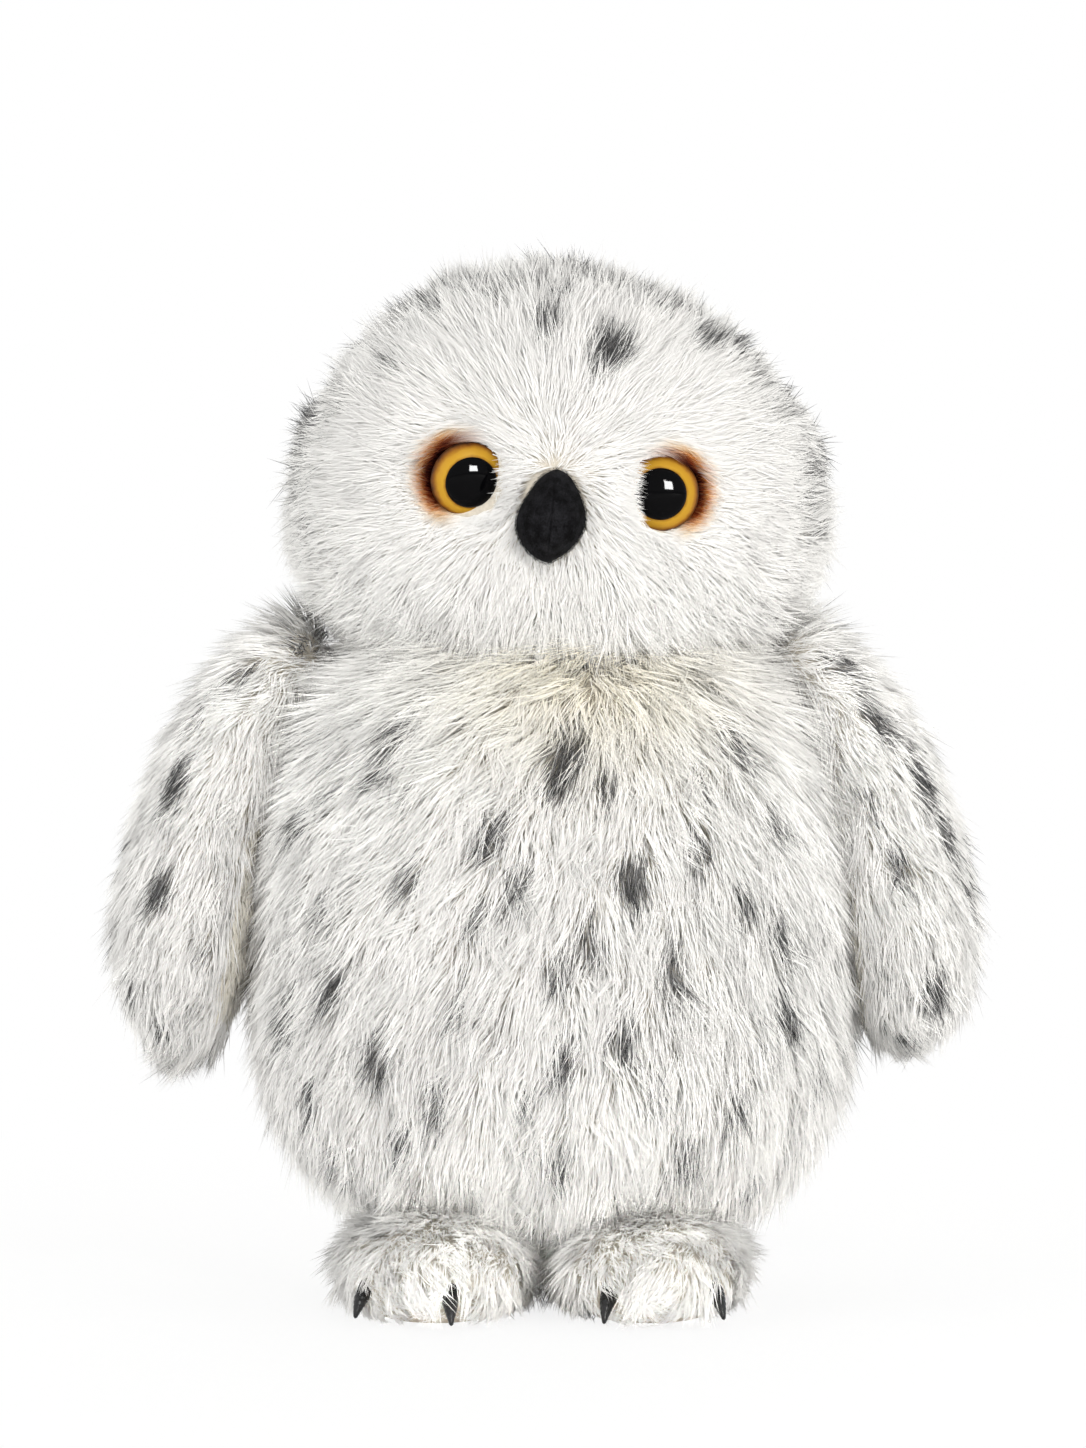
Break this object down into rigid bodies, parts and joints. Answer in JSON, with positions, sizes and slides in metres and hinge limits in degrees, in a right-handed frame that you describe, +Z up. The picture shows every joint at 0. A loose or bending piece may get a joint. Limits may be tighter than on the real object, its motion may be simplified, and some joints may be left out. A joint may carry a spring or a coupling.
{
  "type": "plush owl",
  "caption": "Standing plush snowy owl with shaggy spotted pile, turning head, drooping wings, short tail, domed amber eyes, felt beak and clawed feet.",
  "frame": {"origin": "on the floor, under the middle of the owl's overall box", "axes": "+Z up, the owl faces -Y, +X to the viewer's right when facing it"},
  "size_m": [0.2404, 0.164, 0.2968],
  "materials": {
    "body_front_panel": "long white pile with dark grey spots",
    "body_back_panel": "long white pile with dark grey spots",
    "body_base_panel": "short cream pile",
    "body_fill": "loose polyester fibre",
    "pellet_bag": "plain cloth bag of plastic pellets",
    "neck_fill": "tightly packed polyester fibre",
    "face_panel": "long plain white pile",
    "head_back_panel": "long white pile with dark grey spots",
    "head_fill": "loose polyester fibre",
    "left_eye_iris": "satin amber",
    "left_eye_pupil": "polished black",
    "left_eye_washer": "plain moulded",
    "right_eye_iris": "satin amber",
    "right_eye_pupil": "polished black",
    "right_eye_washer": "plain moulded",
    "beak_left_panel": "black felt",
    "beak_right_panel": "black felt",
    "beak_fill": "loose polyester fibre",
    "left_wing_outer": "long white pile with dark grey spots",
    "left_wing_lining": "short cream pile",
    "left_wing_fill": "loose polyester fibre",
    "right_wing_outer": "long white pile with dark grey spots",
    "right_wing_lining": "short cream pile",
    "right_wing_fill": "loose polyester fibre",
    "left_foot_upper": "plain white pile",
    "left_foot_sole": "short cream pile",
    "left_foot_fill": "loose polyester fibre",
    "left_foot_outer_claw": "glossy black",
    "left_foot_inner_claw": "glossy black",
    "right_foot_upper": "plain white pile",
    "right_foot_sole": "short cream pile",
    "right_foot_fill": "loose polyester fibre",
    "right_foot_inner_claw": "glossy black",
    "right_foot_outer_claw": "glossy black",
    "tail_outer": "long white pile with dark grey spots",
    "tail_lining": "short cream pile",
    "tail_fill": "loose polyester fibre"
  },
  "bodies": {
    "torso": {"body_front_panel": "body_front_panel", "body_back_panel": "body_back_panel", "body_base_panel": "body_base_panel", "body_fill": "body_fill", "pellet_bag": "pellet_bag", "left_foot_upper": "left_foot_upper", "left_foot_sole": "left_foot_sole", "left_foot_fill": "left_foot_fill", "left_foot_outer_claw": "left_foot_outer_claw", "left_foot_inner_claw": "left_foot_inner_claw", "right_foot_upper": "right_foot_upper", "right_foot_sole": "right_foot_sole", "right_foot_fill": "right_foot_fill", "right_foot_inner_claw": "right_foot_inner_claw", "right_foot_outer_claw": "right_foot_outer_claw"},
    "neck": {"neck_fill": "neck_fill"},
    "head": {"face_panel": "face_panel", "head_back_panel": "head_back_panel", "head_fill": "head_fill", "left_eye_iris": "left_eye_iris", "left_eye_pupil": "left_eye_pupil", "left_eye_washer": "left_eye_washer", "right_eye_iris": "right_eye_iris", "right_eye_pupil": "right_eye_pupil", "right_eye_washer": "right_eye_washer", "beak_left_panel": "beak_left_panel", "beak_right_panel": "beak_right_panel", "beak_fill": "beak_fill"},
    "left_wing": {"left_wing_outer": "left_wing_outer", "left_wing_lining": "left_wing_lining", "left_wing_fill": "left_wing_fill"},
    "right_wing": {"right_wing_outer": "right_wing_outer", "right_wing_lining": "right_wing_lining", "right_wing_fill": "right_wing_fill"},
    "tail": {"tail_outer": "tail_outer", "tail_lining": "tail_lining", "tail_fill": "tail_fill"}
  },
  "joints": [
    {"name": "head_turn", "type": "hinge", "parent": "torso", "child": "neck", "pos_m": [0.004, 0, 0.189], "axis": [0, 0, 1], "range_deg": [-30, 30], "stiffness_Nm_per_rad": 0.2},
    {"name": "head_nod", "type": "hinge", "parent": "neck", "child": "head", "pos_m": [0.004, 0, 0.189], "axis": [1, 0, 0], "range_deg": [-6, 6], "stiffness_Nm_per_rad": 1},
    {"name": "left_wing_lift", "type": "hinge", "parent": "torso", "child": "left_wing", "pos_m": [-0.064, 0, 0.192], "axis": [0, 1, 0], "range_deg": [0, 60]},
    {"name": "right_wing_lift", "type": "hinge", "parent": "torso", "child": "right_wing", "pos_m": [0.064, 0, 0.192], "axis": [0, -1, 0], "range_deg": [0, 60]},
    {"name": "tail_lift", "type": "hinge", "parent": "torso", "child": "tail", "pos_m": [0.0025, 0.06, 0.084], "axis": [1, 0, 0], "range_deg": [0, 20]}
  ]
}
